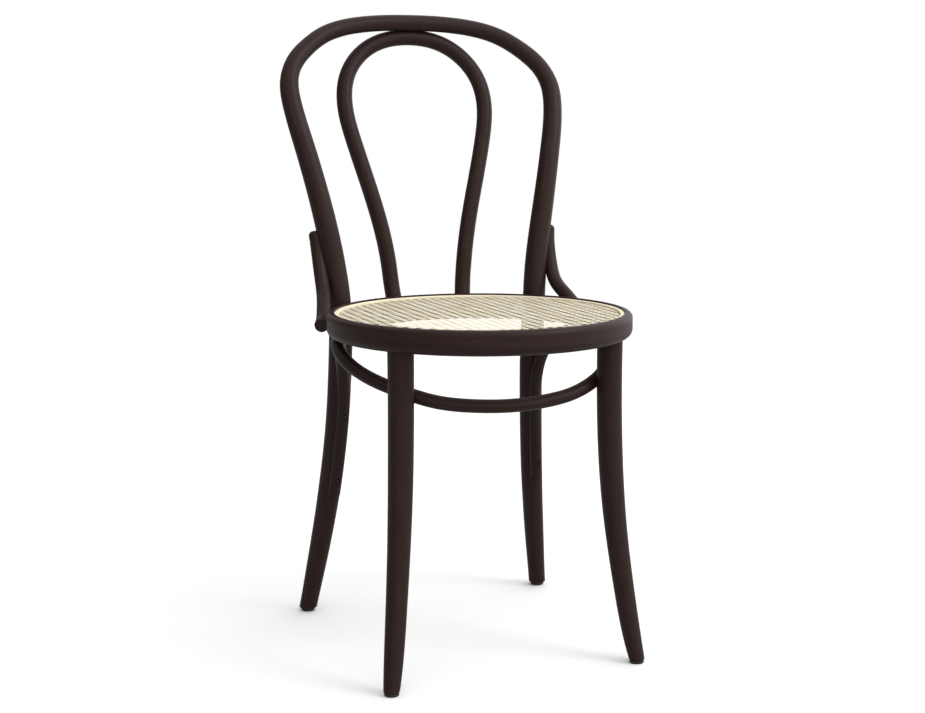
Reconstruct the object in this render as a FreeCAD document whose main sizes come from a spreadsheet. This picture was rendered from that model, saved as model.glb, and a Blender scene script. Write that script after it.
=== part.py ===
import FreeCAD, Part
import os
from math import cos, hypot, pi, radians, sin

import Sketcher
from FreeCAD import Placement, Rotation, Vector

# Bentwood bistro chair with a round cane seat. Millimetres, +Z up, front of the chair towards -Y,
# the floor at Z = 0 and the origin under the middle of the chair.

doc = FreeCAD.newDocument("bistro_chair")
sheet = doc.addObject("Spreadsheet::Sheet", "sizes")

# Driving dimensions. "out" is sideways from the centre plane, "aft" is towards the back,
# "rise" is above the top of the seat and "height" is above the floor.
SIZES = {
    # Seat ring and its cane
    "seat_height": 460,
    "ring_radius": 202,
    "ring_width": 45,
    "ring_depth": 32,
    "ring_top_round": 7.2,
    "ring_bottom_round": 10.8,
    "ring_inner_round": 3,
    "rim_width": 10,
    "rebate_depth": 4.6,
    "groove_width": 8.4,
    "groove_depth": 5.5,
    "cane_thickness": 1.6,
    "cane_pitch": 17.8,
    "cane_hole": 10.6,
    "cane_border": 9,
    "cane_tuck": 2,
    "spline_gap": 0.15,
    "spline_drop": 2.0,
    "spline_round": 1.2,
    # One rod makes the outer back hoop and both rear legs
    "upright_angle": 42.1,
    "upright_notch": 1.2,
    "joint_drop": 15,
    "foot_out": 36,
    "foot_aft": 64.6,
    "foot_thick": 24.6,
    "shin_height": 100,
    "shin_out": 21.8,
    "shin_aft": 45.5,
    "shin_thick": 29.2,
    "calf_height": 200,
    "calf_out": 9.5,
    "calf_aft": 27,
    "calf_thick": 32,
    "knee_height": 300,
    "knee_out": 1.6,
    "knee_aft": 12.6,
    "knee_thick": 32.8,
    "thigh_height": 375,
    "thigh_out": -0.9,
    "thigh_aft": 5.6,
    "thigh_thick": 33,
    "joint_thick": 32.6,
    "waist_rise": 42,
    "waist_out": 5,
    "waist_aft": 4.6,
    "waist_thick": 31.8,
    "rib_rise": 100,
    "rib_out": 14.3,
    "rib_aft": 10.3,
    "rib_thick": 30.6,
    "chest_rise": 160,
    "chest_out": 26.7,
    "chest_aft": 19.7,
    "chest_thick": 29.2,
    "back_rise": 220,
    "back_out": 40.2,
    "back_aft": 34.5,
    "back_thick": 28,
    "widest_rise": 274,
    "widest_out": 50.2,
    "widest_aft": 54,
    "widest_thick": 26.8,
    "shoulder_rise": 314,
    "shoulder_out": 46,
    "shoulder_aft": 73.6,
    "shoulder_thick": 25.4,
    "turn_rise": 343,
    "turn_out": 23,
    "turn_aft": 90.4,
    "turn_thick": 24.4,
    "arc_rise": 370,
    "arc_out": -18.5,
    "arc_aft": 108.4,
    "arc_thick": 23.6,
    "crown_side_rise": 381.5,
    "crown_side_out": -63,
    "crown_side_aft": 117.6,
    "crown_side_thick": 23,
    "crown_rise": 386.6,
    "crown_aft": 123.2,
    "crown_thick": 22.8,
    # Inner loop, its ends on the back of the seat ring
    "loop_thick": 22.6,
    "loop_angle": 14.1,
    "loop_notch": 0.9,
    "loop_end_drop": 28,
    "loop_foot_rise": 15,
    "loop_foot_out": 2.7,
    "loop_foot_aft": 6,
    "loop_low_rise": 40,
    "loop_low_out": 5.2,
    "loop_low_aft": 8.5,
    "loop_waist_rise": 100,
    "loop_waist_out": 15.3,
    "loop_waist_aft": 16.2,
    "loop_rib_rise": 160,
    "loop_rib_out": 30.6,
    "loop_rib_aft": 27.1,
    "loop_back_rise": 220,
    "loop_back_out": 46.7,
    "loop_back_aft": 41.1,
    "loop_widest_rise": 270,
    "loop_widest_out": 54.6,
    "loop_widest_aft": 55.2,
    "loop_shoulder_rise": 308,
    "loop_shoulder_out": 47.8,
    "loop_shoulder_aft": 67.6,
    "loop_turn_rise": 336,
    "loop_turn_out": 29,
    "loop_turn_aft": 77.6,
    "loop_arc_rise": 356,
    "loop_arc_out": 0.4,
    "loop_arc_aft": 84,
    "loop_crown_below": 20.4,
    "loop_crown_behind": 8.6,
    # Turned front legs, bent outwards towards the foot
    "leg_angle": 54.6,
    "leg_inset": 27,
    "leg_splay_angle": 35.3,
    "leg_top_thick": 33.4,
    "leg_knee_height": 330,
    "leg_knee_bend": 0.8,
    "leg_knee_thick": 32.8,
    "leg_calf_height": 250,
    "leg_calf_bend": 5,
    "leg_calf_thick": 31.8,
    "leg_shin_height": 170,
    "leg_shin_bend": 14,
    "leg_shin_thick": 29.4,
    "leg_ankle_height": 90,
    "leg_ankle_bend": 27.8,
    "leg_ankle_thick": 27,
    "leg_heel_height": 28,
    "leg_heel_bend": 41,
    "leg_heel_thick": 23.8,
    "leg_foot_bend": 47,
    "leg_foot_thick": 21,
    "foot_bevel": 1.6,
    "tenon_thick": 20,
    "tenon_length": 18,
    "socket_clearance": 0.15,
    # Hoop that braces the four legs
    "hoop_thick": 17.6,
    "hoop_notch": 1.6,
    "leg_touch_angle": 28.5,
    "bow_height": 351.6,
    "bow_front": 112.5,
    "bow_near_out": 50,
    "bow_near_back": 4,
    "bow_near_lift": 2.2,
    "bow_far_out": 95.8,
    "bow_far_back": 15.3,
    "bow_far_lift": 8.5,
    "bow_leg_lift": 19.7,
    "hoop_front_out": 168,
    "hoop_front_aft": -40.5,
    "hoop_front_lift": 35.7,
    "hoop_side_out": 183.7,
    "hoop_side_aft": 4.3,
    "hoop_side_lift": 51.5,
    "hoop_back_out": 180.6,
    "hoop_back_aft": 51,
    "hoop_back_lift": 63.1,
    "hoop_turn_out": 169.7,
    "hoop_turn_aft": 87.8,
    "hoop_turn_lift": 61.6,
    "hoop_climb_out": 153.2,
    "hoop_climb_aft": 130,
    "hoop_climb_lift": 34.6,
    "hoop_straight_height": 318,
    "hoop_leg_inward": 1.4,
    "hoop_leg_bite": 4.6,
    "hoop_end_height": 183,
    "hoop_end_round": 1.8,
    # Quarter arches between the uprights and the sides of the ring
    "arch_thick": 19,
    "arch_notch": 1.2,
    "arch_top_angle": 44.5,
    "arch_top_off": 39.6,
    "arch_top_rise": 97,
    "arch_high_angle": 44.9,
    "arch_high_off": 35,
    "arch_high_rise": 74,
    "arch_mid_angle": 46.8,
    "arch_mid_off": 26.2,
    "arch_mid_rise": 41.5,
    "arch_bend_angle": 49.7,
    "arch_bend_off": 17,
    "arch_bend_rise": 18,
    "arch_low_angle": 56,
    "arch_low_off": 6.4,
    "arch_low_rise": 0,
    "arch_flat_angle": 62.8,
    "arch_flat_off": 0.6,
    "arch_flat_rise": -16.6,
    "arch_end_angle": 67.6,
    "arch_end_rise": -21.6,
    "arch_round": 1.8,
    "arch_top_round": 6.5,
    "glue_gap": 0.12,
    # Fasteners and glides
    "bolt_thick": 6,
    "bolt_head": 14,
    "bolt_head_height": 3.6,
    "bolt_sink": 4,
    "bolt_end": 2,
    "nut_across": 10,
    "nut_height": 5,
    "washer_across": 16,
    "washer_thick": 1.6,
    "washer_seat": 3,
    "screw_thick": 3.6,
    "screw_head": 7.4,
    "screw_head_height": 2.4,
    "screw_slot": 1,
    "screw_slot_depth": 1.1,
    "screw_tip": 4,
    "screw_sink": 2.6,
    "long_screw": 36,
    "short_screw": 29,
    "lock_screw": 20,
    "drill_clearance": 0.1,
    "head_clearance": 0.4,
    "crown_screw_out": 14,
    "arch_top_screw_rise": 80,
    "arch_end_screw_angle": 62,
    "hoop_low_screw_height": 205,
    "hoop_high_screw_height": 298,
    "glide_thick": 19,
    "glide_height": 4,
    "glide_round": 1.4,
    "nail_thick": 3,
    "nail_length": 17,
    "nail_head": 7,
    "nail_head_height": 1.4,
    "nail_sink": 0.8,
}

for row, (alias, number) in enumerate(SIZES.items(), start=1):
    sheet.set(f"A{row}", alias)
    sheet.set(f"B{row}", str(number))
    sheet.setAlias(f"B{row}", alias)
doc.recompute()


def size(alias):
    """A driving dimension, read from the sheet."""
    return float(sheet.get(alias))


def worked(expression):
    """The number that an expression of the sheet's names gives."""
    return float(sheet.evalExpression(expression))


# Where things are in plan: the ring's axis, and points given round it

TOP = size("seat_height")
RING = size("ring_radius")
UPRIGHT_JOINT_RADIUS = RING + size("joint_thick") / 2 - size("upright_notch")
CROWN_Y = UPRIGHT_JOINT_RADIUS * cos(radians(size("upright_angle"))) + size("crown_aft")
LOOP_CROWN_Y = CROWN_Y + size("loop_crown_behind")
REARMOST = LOOP_CROWN_Y + size("loop_thick") / 2
AXIS_Y = (RING - REARMOST) / 2


def at(out, aft, height):
    """A point given from the ring's axis, with the origin moved under the middle of the chair."""
    return Vector(out, aft + AXIS_Y, height)


def around(radius, angle, height):
    """A point round the ring's axis, its angle measured from straight back."""
    return at(radius * sin(radians(angle)), radius * cos(radians(angle)), height)


def mirrored(vector):
    return Vector(-vector.x, vector.y, vector.z)


# Bent rods: a smooth centreline through a few stations, and a round section that tapers


def centreline(stations):
    curve = Part.BSplineCurve()
    curve.interpolate([point for point, thick in stations])
    return curve


def cross_sections(stations, count, swell=0.0):
    """Circles square to the centreline, their thickness carried evenly between the stations."""
    curve = centreline(stations)
    knots = [curve.parameter(point) for point, thick in stations]
    thicks = [thick for point, thick in stations]
    places = curve.discretize(Number=count)
    side = Vector(0, 1, 0)
    circles = []
    for place in places:
        where = curve.parameter(place)
        step = max(i for i in range(len(knots) - 1) if knots[i] <= where + 1e-9)
        share = (where - knots[step]) / (knots[step + 1] - knots[step])
        thick = thicks[step] + (thicks[step + 1] - thicks[step]) * share
        tangent = curve.tangent(where)[0]
        side = side - tangent * side.dot(tangent)
        side.normalize()
        circle = Part.Circle(place, tangent, thick / 2 + swell)
        circle.XAxis = side
        circles.append(Part.Wire([circle.toShape()]))
    return circles


def bent_rod(stations, count, first_round=0.0, last_round=0.0, swell=0.0):
    """A rod along its stations, the edge of its first and of its last end rounded over."""
    rod = Part.makeLoft(cross_sections(stations, count, swell), True, False)
    for radius, (place, thick) in ((first_round, stations[0]), (last_round, stations[-1])):
        if radius:
            circles = [edge for edge in rod.Edges if edge.isClosed()]
            end = min(circles, key=lambda edge: edge.CenterOfMass.distanceToPoint(place))
            rod = rod.makeFillet(radius, [end])
    return rod


def station(name, height):
    """A place on the outer rod, given from where the rod meets the ring."""
    joint = around(UPRIGHT_JOINT_RADIUS, size("upright_angle"), 0)
    point = Vector(joint.x + size(name + "_out"), joint.y + size(name + "_aft"), height)
    return point, size(name + "_thick")


def outer_rod_half():
    """The right half of the outer rod, from the foot to just before the crown."""
    joint = around(UPRIGHT_JOINT_RADIUS, size("upright_angle"), TOP - size("joint_drop"))
    foot, thick = station("foot", size("glide_height"))
    shin = station("shin", size("shin_height"))[0]
    below = foot.add((foot.sub(shin)) * 0.12)
    legs = [(below, thick), (foot, thick)]
    legs += [station(name, size(name + "_height")) for name in ("shin", "calf", "knee", "thigh")]
    back = [station(name, TOP + size(name + "_rise"))
            for name in ("waist", "rib", "chest", "back", "widest", "shoulder", "turn", "arc",
                         "crown_side")]
    return legs + [(joint, size("joint_thick"))] + back


def loop_half():
    """The right half of the inner loop, from its end on the ring to just before its crown."""
    radius = RING + size("loop_thick") / 2 - size("loop_notch")
    end = around(radius, size("loop_angle"), TOP - size("loop_end_drop"))
    points = [end, Vector(end.x, end.y, TOP - size("joint_drop"))]
    for name in ("foot", "low", "waist", "rib", "back", "widest", "shoulder", "turn", "arc"):
        points.append(Vector(end.x + size(f"loop_{name}_out"), end.y + size(f"loop_{name}_aft"),
                             TOP + size(f"loop_{name}_rise")))
    return [(point, size("loop_thick")) for point in points]


def whole(half, crown):
    """Both halves of a hoop joined over its crown."""
    return half + [crown] + [(mirrored(point), thick) for point, thick in reversed(half)]


OUTER_HALF = outer_rod_half()
CROWN = (at(0, CROWN_Y, TOP + size("crown_rise")), size("crown_thick"))
OUTER = whole(OUTER_HALF, CROWN)
OUTER_LINE = centreline(OUTER)
LOOP_CROWN = (at(0, LOOP_CROWN_Y, TOP + size("crown_rise") - size("loop_crown_below")),
              size("loop_thick"))
LOOP = whole(loop_half(), LOOP_CROWN)


def upright_at(height):
    """The centre of the right upright or rear leg at a height."""
    cut = Part.Plane(Vector(0, 0, height), Vector(0, 0, 1))
    points = OUTER_LINE.intersect(cut)[0]
    return max((Vector(p.X, p.Y, p.Z) for p in points), key=lambda point: point.x)


def upright_thick_at(height):
    rows = [(point.z, thick) for point, thick in OUTER_HALF]
    for (low, thick_low), (high, thick_high) in zip(rows, rows[1:]):
        if low <= height <= high:
            return thick_low + (thick_high - thick_low) * (height - low) / (high - low)
    return rows[-1][1]


# The front leg's axis, and the leg hoop that runs inside the front legs and down the rear ones


def leg_axis():
    return around(RING - size("leg_inset"), 180 - size("leg_angle"), 0)


LEG_STATIONS = (("foot", "glide_height"), ("heel", "leg_heel_height"), ("ankle", "leg_ankle_height"),
                ("shin", "leg_shin_height"), ("calf", "leg_calf_height"), ("knee", "leg_knee_height"))


def hoop_touch():
    """Where the hoop's centreline passes the front leg, on the leg's inner side."""
    leg = leg_axis()
    reach = (size("leg_knee_thick") + size("hoop_thick")) / 2 - size("hoop_notch")
    inward = Vector(-sin(radians(size("leg_touch_angle"))), cos(radians(size("leg_touch_angle"))), 0)
    return Vector(leg.x + inward.x * reach, leg.y + inward.y * reach,
                  size("bow_height") + size("bow_leg_lift"))


def hoop_half():
    """The right half of the leg hoop, from its end on the rear leg to just before the bow's middle."""
    height = size("bow_height")
    thick = size("hoop_thick")
    points = []
    lowest = size("hoop_end_height")
    run = size("hoop_straight_height") - lowest
    for share in (0, 1 / 3, 2 / 3, 1):
        level = lowest + run * share
        leg = upright_at(level)
        reach = (upright_thick_at(level) + thick) / 2 - size("hoop_leg_bite")
        points.append(Vector(leg.x - size("hoop_leg_inward"), leg.y - reach, level))
    for name in ("climb", "turn", "back", "side", "front"):
        points.append(at(size(f"hoop_{name}_out"), size(f"hoop_{name}_aft"),
                         height + size(f"hoop_{name}_lift")))
    points.append(hoop_touch())
    points.append(at(size("bow_far_out"), size("bow_far_back") - size("bow_front"),
                     height + size("bow_far_lift")))
    points.append(at(size("bow_near_out"), size("bow_near_back") - size("bow_front"),
                     height + size("bow_near_lift")))
    return [(point, thick) for point in points]


# The side arch, from its top on the upright to its end on the side of the ring


def arch_half():
    radius = RING + size("arch_thick") / 2 - size("arch_notch")
    points = []
    for name in ("top", "high", "mid", "bend", "low", "flat"):
        points.append(around(radius + size(f"arch_{name}_off"), size(f"arch_{name}_angle"),
                             TOP + size(f"arch_{name}_rise")))
    points.append(around(radius, size("arch_end_angle"), TOP + size("arch_end_rise")))
    return [(point, size("arch_thick")) for point in points]


# Document helpers


def named(kind, name):
    thing = doc.addObject(kind, name)
    thing.Label = name
    return thing


def bind(thing, **expressions):
    """Ties properties of an object to the sheet."""
    for path, expression in expressions.items():
        thing.setExpression(path, expression)


def plane_of(body, role):
    return next(feature for feature in body.Origin.OriginFeatures if feature.Role == role)


def sketch_on(body, name, role, lift=None):
    """A sketch on one of the body's own planes, raised by an expression of the sheet."""
    sketch = body.newObject("Sketcher::SketchObject", name)
    sketch.AttachmentSupport = [(plane_of(body, role), "")]
    sketch.MapMode = "FlatFace"
    if lift:
        sketch.setExpression("AttachmentOffset.Base.z", lift)
    return sketch


def outline(sketch, corners):
    """A closed outline whose corners are pairs of sheet expressions, each bound as a constraint."""
    spots = [Vector(worked(across), worked(up), 0) for across, up in corners]
    count = len(spots)
    for i in range(count):
        sketch.addGeometry(Part.LineSegment(spots[i], spots[(i + 1) % count]), False)
    for i in range(count):
        sketch.addConstraint(Sketcher.Constraint("Coincident", i, 2, (i + 1) % count, 1))
    for i, (across, up) in enumerate(corners):
        pin(sketch, i, "DistanceX", across, spots[i].x, -2)
        pin(sketch, i, "DistanceY", up, spots[i].y, -1)


def pin(sketch, line, kind, expression, number, axis):
    """Holds a line's first end at a distance from the sketch's origin, or on an axis where it is 0."""
    if expression == "0":
        sketch.addConstraint(Sketcher.Constraint("PointOnObject", line, 1, axis))
        return
    row = sketch.addConstraint(Sketcher.Constraint(kind, -1, 1, line, 1, number))
    sketch.renameConstraint(row, f"{kind}_{line}")
    sketch.setExpression(f"Constraints.{kind}_{line}", expression)


def disc(sketch, radius):
    """A circle round the sketch's origin, its radius bound to the sheet."""
    sketch.addGeometry(Part.Circle(Vector(0, 0, 0), Vector(0, 0, 1), worked(radius)), False)
    sketch.addConstraint(Sketcher.Constraint("Coincident", 0, 3, -1, 1))
    row = sketch.addConstraint(Sketcher.Constraint("Radius", 0, worked(radius)))
    sketch.renameConstraint(row, "radius")
    sketch.setExpression("Constraints.radius", radius)


def turned(name, corners):
    """A body turned about its own Z axis from an outline of radius and height."""
    body = named("PartDesign::Body", name)
    sketch = sketch_on(body, name + "_profile", "XZ_Plane")
    outline(sketch, corners)
    turn = body.newObject("PartDesign::Revolution", name + "_turn")
    turn.Profile = sketch
    turn.ReferenceAxis = (sketch, ["V_Axis"])
    turn.Angle = 360
    doc.recompute()
    return body


def rounded(body, radius, chosen):
    """Rounds the level edges that a test picks by their radius from the body's axis and height."""
    tip = body.Tip
    names = []
    for number, edge in enumerate(tip.Shape.Edges, start=1):
        box = edge.BoundBox
        if box.ZLength < 0.01 and box.XLength > 0.01 and chosen(box.XLength / 2, box.ZMin):
            names.append(f"Edge{number}")
    fillet = body.newObject("PartDesign::Fillet", body.Name + "_round")
    fillet.Base = (tip, names)
    fillet.setExpression("Radius", radius)
    doc.recompute()
    return body


def near(first, second):
    return abs(first - second) < 0.01


def along(start, direction):
    """The placement that puts local +Z along a direction, at a point."""
    return Placement(start, Rotation(Vector(0, 0, 1), direction))


def drill(start, direction, diameter, depth):
    """A round cutter whose diameter and depth are expressions of the sheet."""
    cutter = doc.addObject("Part::Cylinder", "drill")
    bind(cutter, Radius=f"({diameter}) / 2", Height=depth)
    cutter.Placement = along(start, direction)
    return cutter


def cut(base, cutters, name):
    """The base less its cutters, which may touch each other."""
    tool = cutters[0]
    if len(cutters) > 1:
        tool = doc.addObject("Part::MultiFuse", name + "_cutters")
        tool.Shapes = cutters
    piece = named("Part::Cut", name)
    piece.Base = base
    piece.Tool = tool
    return piece


def feature(name, shape):
    thing = named("Part::Feature", name)
    thing.Shape = shape
    return thing


# Fastening places: each is the seat of a head, the way the fastener points, and its screw's length


def towards(start, end):
    way = end.sub(start)
    way.normalize()
    return way


def both(place):
    """A place on the right and its mirror image on the left."""
    start, way, length = place
    return [place, (mirrored(start), mirrored(way), length)]


def seat_bolt_place():
    angle, level = size("upright_angle"), TOP - size("joint_drop")
    outside = UPRIGHT_JOINT_RADIUS + size("joint_thick") / 2 - size("bolt_sink")
    inward = towards(around(outside, angle, level), around(0, angle, level))
    return around(outside, angle, level), inward


def nearest_on(line, point):
    return line.value(line.parameter(point))


def sunk(centre, way, thick, length):
    """A screw through a rod, its head let into the side away from what it holds."""
    start = centre.sub(way * (size(thick) / 2 - size("screw_sink")))
    return start, way, length


def loop_foot_place():
    level = TOP - size("joint_drop")
    radius = RING + size("loop_thick") / 2 - size("loop_notch")
    centre = around(radius, size("loop_angle"), level)
    return sunk(centre, towards(centre, around(0, 0, level)), "loop_thick", "long_screw")


def crown_place():
    aside = Vector(size("crown_screw_out"), 0, 0)
    loop = nearest_on(LOOP_LINE, LOOP_CROWN[0].add(aside))
    crown = nearest_on(OUTER_LINE, CROWN[0].add(aside))
    return sunk(loop, towards(loop, crown), "loop_thick", "short_screw")


def arch_top_place():
    level = TOP + size("arch_top_screw_rise")
    plane = Part.Plane(Vector(0, 0, level), Vector(0, 0, 1))
    hit = ARCH_LINE.intersect(plane)[0][0]
    centre = Vector(hit.X, hit.Y, hit.Z)
    return sunk(centre, towards(centre, upright_at(level)), "arch_thick", "short_screw")


def arch_end_place():
    radius = RING + size("arch_thick") / 2 - size("arch_notch")
    guess = around(radius, size("arch_end_screw_angle"), TOP + size("arch_flat_rise"))
    centre = nearest_on(ARCH_LINE, guess)
    axis = at(0, 0, centre.z)
    return sunk(centre, towards(centre, axis), "arch_thick", "short_screw")


def hoop_front_place():
    centre = hoop_touch()
    leg = leg_axis()
    return sunk(centre, towards(centre, Vector(leg.x, leg.y, centre.z)), "hoop_thick", "short_screw")


def hoop_rear_place(height):
    plane = Part.Plane(Vector(0, 0, height), Vector(0, 0, 1))
    hits = [Vector(hit.X, hit.Y, hit.Z) for hit in HOOP_LINE.intersect(plane)[0]]
    centre = max((hit for hit in hits if hit.x > 0), key=lambda hit: hit.y)
    return sunk(centre, towards(centre, upright_at(height)), "hoop_thick", "short_screw")


def leg_lock_place():
    angle = 180 - size("leg_angle")
    level = TOP - size("ring_depth") + size("tenon_length") / 2
    inside = RING - size("ring_width") + size("screw_sink")
    start = around(inside, angle, level)
    return start, towards(at(0, 0, level), start), "lock_screw"


LOOP_LINE = centreline(LOOP)
ARCH = arch_half()
ARCH_LINE = centreline(ARCH)
HOOP_HALF = hoop_half()
HOOP_FRONT = (at(0, -size("bow_front"), size("bow_height")), size("hoop_thick"))
HOOP = whole(HOOP_HALF, HOOP_FRONT)
HOOP_LINE = centreline(HOOP)

SCREWS = {
    "loop_foot_screws": both(loop_foot_place()),
    "crown_screws": both(crown_place()),
    "arch_top_screws": both(arch_top_place()),
    "arch_end_screws": both(arch_end_place()),
    "hoop_front_screws": both(hoop_front_place()),
    "hoop_rear_screws": both(hoop_rear_place(size("hoop_low_screw_height")))
    + both(hoop_rear_place(size("hoop_high_screw_height"))),
    "leg_lock_screws": both(leg_lock_place()),
}


def screw_drills(*groups):
    """A stepped hole for every screw of the named groups: the shank's bore and the head's sinking."""
    cutters = []
    for group in groups:
        for start, way, length in SCREWS[group]:
            bore = "sizes.screw_thick + 2 * sizes.drill_clearance"
            cutters.append(drill(start, way, bore, f"sizes.{length} + sizes.drill_clearance"))
            sinking = "sizes.screw_head + 2 * sizes.head_clearance"
            cutters.append(drill(start, -way, sinking, "sizes.screw_sink + sizes.screw_head"))
    return cutters


# Seat ring


def make_seat_ring():
    inner = "sizes.ring_radius - sizes.ring_width"
    rebate = "sizes.ring_radius - sizes.rim_width"
    groove = "sizes.ring_radius - sizes.rim_width - sizes.groove_width"
    shelf = "sizes.ring_depth - sizes.rebate_depth"
    floor = "sizes.ring_depth - sizes.rebate_depth - sizes.groove_depth"
    outer = "sizes.ring_radius"
    body = turned("ring_blank", [
        (inner, "0"), (outer, "0"), (outer, "sizes.ring_depth"), (rebate, "sizes.ring_depth"),
        (rebate, floor), (groove, floor), (groove, shelf), (inner, shelf)])
    rounded(body, "sizes.ring_top_round",
            lambda radius, z: near(radius, RING) and near(z, size("ring_depth")))
    rounded(body, "sizes.ring_bottom_round", lambda radius, z: near(radius, RING) and near(z, 0))
    rounded(body, "sizes.ring_inner_round",
            lambda radius, z: near(radius, RING - size("ring_width")) and near(z, 0))
    underside = TOP - size("ring_depth")
    body.Placement = Placement(at(0, 0, underside), Rotation())
    cutters = []
    for side in (1, -1):
        axis = leg_axis()
        socket = Vector(side * axis.x, axis.y, underside)
        cutters.append(drill(socket, Vector(0, 0, 1), "sizes.tenon_thick + 2 * sizes.socket_clearance",
                             "sizes.tenon_length + sizes.glue_gap"))
    start, inward = seat_bolt_place()
    level = TOP - size("joint_drop")
    washer_seat = around(RING - size("ring_width") + size("washer_seat"), size("upright_angle"), level)
    for turn in (Vector, mirrored):
        hole = turn(start)
        way = turn(inward)
        cutters.append(drill(hole, way, "sizes.bolt_thick + 2 * sizes.drill_clearance",
                             "sizes.ring_radius"))
        cutters.append(drill(turn(washer_seat), way, "sizes.washer_across + 2 * sizes.head_clearance",
                             "sizes.ring_width"))
    cutters += screw_drills("loop_foot_screws", "arch_end_screws", "leg_lock_screws")
    return cut(body, cutters, "seat_ring")


def make_cane_spline():
    wall = "sizes.ring_radius - sizes.rim_width"
    inside = f"{wall} - sizes.groove_width + sizes.cane_thickness + 2 * sizes.spline_gap"
    outside = f"{wall} - sizes.spline_gap"
    top = "sizes.rebate_depth + sizes.groove_depth - sizes.glue_gap - sizes.spline_drop"
    body = turned("cane_spline", [
        (inside, "0"), (outside, "0"), (outside, top), (inside, top)])
    rounded(body, "sizes.spline_round", lambda radius, z: near(z, worked(top)))
    height = TOP - size("rebate_depth") - size("groove_depth") + size("glue_gap")
    body.Placement = Placement(at(0, 0, height), Rotation())
    return body


def octagon(x, y, across, z):
    reach = across / 2 / cos(pi / 8)
    spots = [Vector(x + reach * cos(pi / 8 + i * pi / 4), y + reach * sin(pi / 8 + i * pi / 4), z)
             for i in range(8)]
    return Part.makePolygon(spots + spots[:1])


def make_cane_panel():
    """The woven sheet as one face with eight-sided gaps, its edge turned down into the groove."""
    shelf = TOP - size("rebate_depth")
    wall = RING - size("rim_width") - size("groove_width") + size("spline_gap")
    edge = wall + size("cane_thickness")
    centre = at(0, 0, shelf)
    rim = Part.Wire([Part.makeCircle(edge, centre)])
    pitch, across = size("cane_pitch"), size("cane_hole")
    reach = RING - size("ring_width") - size("cane_border")
    steps = int(reach / pitch) + 1
    gaps = []
    for column in range(-steps, steps + 1):
        for line in range(-steps, steps + 1):
            x, y = column * pitch, line * pitch
            if hypot(x, y) + across / 2 < reach:
                gaps.append(octagon(x, y + AXIS_Y, across, shelf))
    sheet_face = Part.makeFace([rim] + gaps, "Part::FaceMakerBullseye")
    woven = sheet_face.extrude(Vector(0, 0, size("cane_thickness")))
    depth = size("cane_tuck")
    skirt = Part.makeCylinder(edge, depth, at(0, 0, shelf - depth))
    skirt = skirt.cut(Part.makeCylinder(wall, depth, at(0, 0, shelf - depth)))
    print("cane gaps", len(gaps))
    return feature("cane_panel", woven.fuse(skirt).removeSplitter())


# Bent rods


def level_feet(rod):
    """Saws the rod's two ends level on top of the glides and bevels them."""
    level = size("glide_height")
    wide = size("seat_height")
    below = Part.makeBox(2 * wide, 2 * wide, wide, Vector(-wide, -wide, level - wide))
    sawn = rod.cut(below)
    soles = [edge for edge in sawn.Edges if edge.BoundBox.ZMax < level + 0.01]
    return sawn.makeChamfer(size("foot_bevel"), soles)


def make_rods():
    """The four rods as bent, and the swollen copies that shape what is glued against them."""
    gap = size("glue_gap")
    outer = feature("outer_rod_bent", level_feet(bent_rod(OUTER, 61)))
    outer_glued = feature("outer_rod_glued", bent_rod(OUTER, 61, swell=gap))
    loop = feature("loop_bent", bent_rod(LOOP, 45))
    cut_end = size("hoop_end_round")
    hoop = feature("hoop_bent", bent_rod(HOOP, 61, cut_end, cut_end))
    arch_right = feature("arch_right_bent",
                         bent_rod(ARCH, 17, size("arch_top_round"), size("arch_round")))
    arch_left = feature("arch_left_bent", arch_right.Shape.mirror(Vector(0, 0, 0), Vector(1, 0, 0)))
    return outer, outer_glued, loop, hoop, arch_right, arch_left


def make_ring_saddle():
    """The space of the ring's outside, with glue, that is cut out of what lies against it."""
    saddle = named("Part::Cylinder", "ring_saddle")
    bind(saddle, Radius="sizes.ring_radius + sizes.glue_gap",
         Height="sizes.ring_depth + 2 * sizes.glue_gap")
    saddle.Placement = Placement(at(0, 0, TOP - size("ring_depth") - size("glue_gap")), Rotation())
    return saddle


def make_front_leg(name, side):
    """A turned leg with its tenon: circles on level planes, bent outwards towards the foot."""
    body = named("PartDesign::Body", name + "_blank")
    sole = sketch_on(body, name + "_sole", "XY_Plane")
    sole.setExpression("AttachmentOffset.Base.x", "sizes.leg_foot_bend")
    disc(sole, "sizes.leg_foot_thick / 2 - sizes.foot_bevel")
    rings = []
    for key, level in LEG_STATIONS + (("top", None),):
        lift = f"sizes.{level} - sizes.glide_height" if level else UNDER_RING
        if key == "foot":
            lift = "sizes.foot_bevel"
        sketch = sketch_on(body, f"{name}_{key}", "XY_Plane", lift)
        if key != "top":
            sketch.setExpression("AttachmentOffset.Base.x", f"sizes.leg_{key}_bend")
        disc(sketch, f"sizes.leg_{key}_thick / 2")
        rings.append(sketch)
    shaft = body.newObject("PartDesign::AdditiveLoft", name + "_shaft")
    shaft.Profile = rings[0]
    shaft.Sections = rings[1:]
    bevel = body.newObject("PartDesign::AdditiveLoft", name + "_bevel")
    bevel.Ruled = True
    bevel.Profile = sole
    bevel.Sections = [rings[0]]
    doc.recompute()
    root = sketch_on(body, name + "_tenon_circle", "XY_Plane", UNDER_RING)
    disc(root, "sizes.tenon_thick / 2")
    tenon = body.newObject("PartDesign::Pad", name + "_tenon")
    tenon.Profile = root
    tenon.setExpression("Length", "sizes.tenon_length")
    doc.recompute()
    axis = leg_axis()
    splay = size("leg_splay_angle") - 90
    turn = splay if side > 0 else -180 - splay
    body.Placement = Placement(Vector(side * axis.x, axis.y, size("glide_height")),
                               Rotation(Vector(0, 0, 1), turn))
    return body


UNDER_RING = "sizes.seat_height - sizes.ring_depth - sizes.glide_height"


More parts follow.
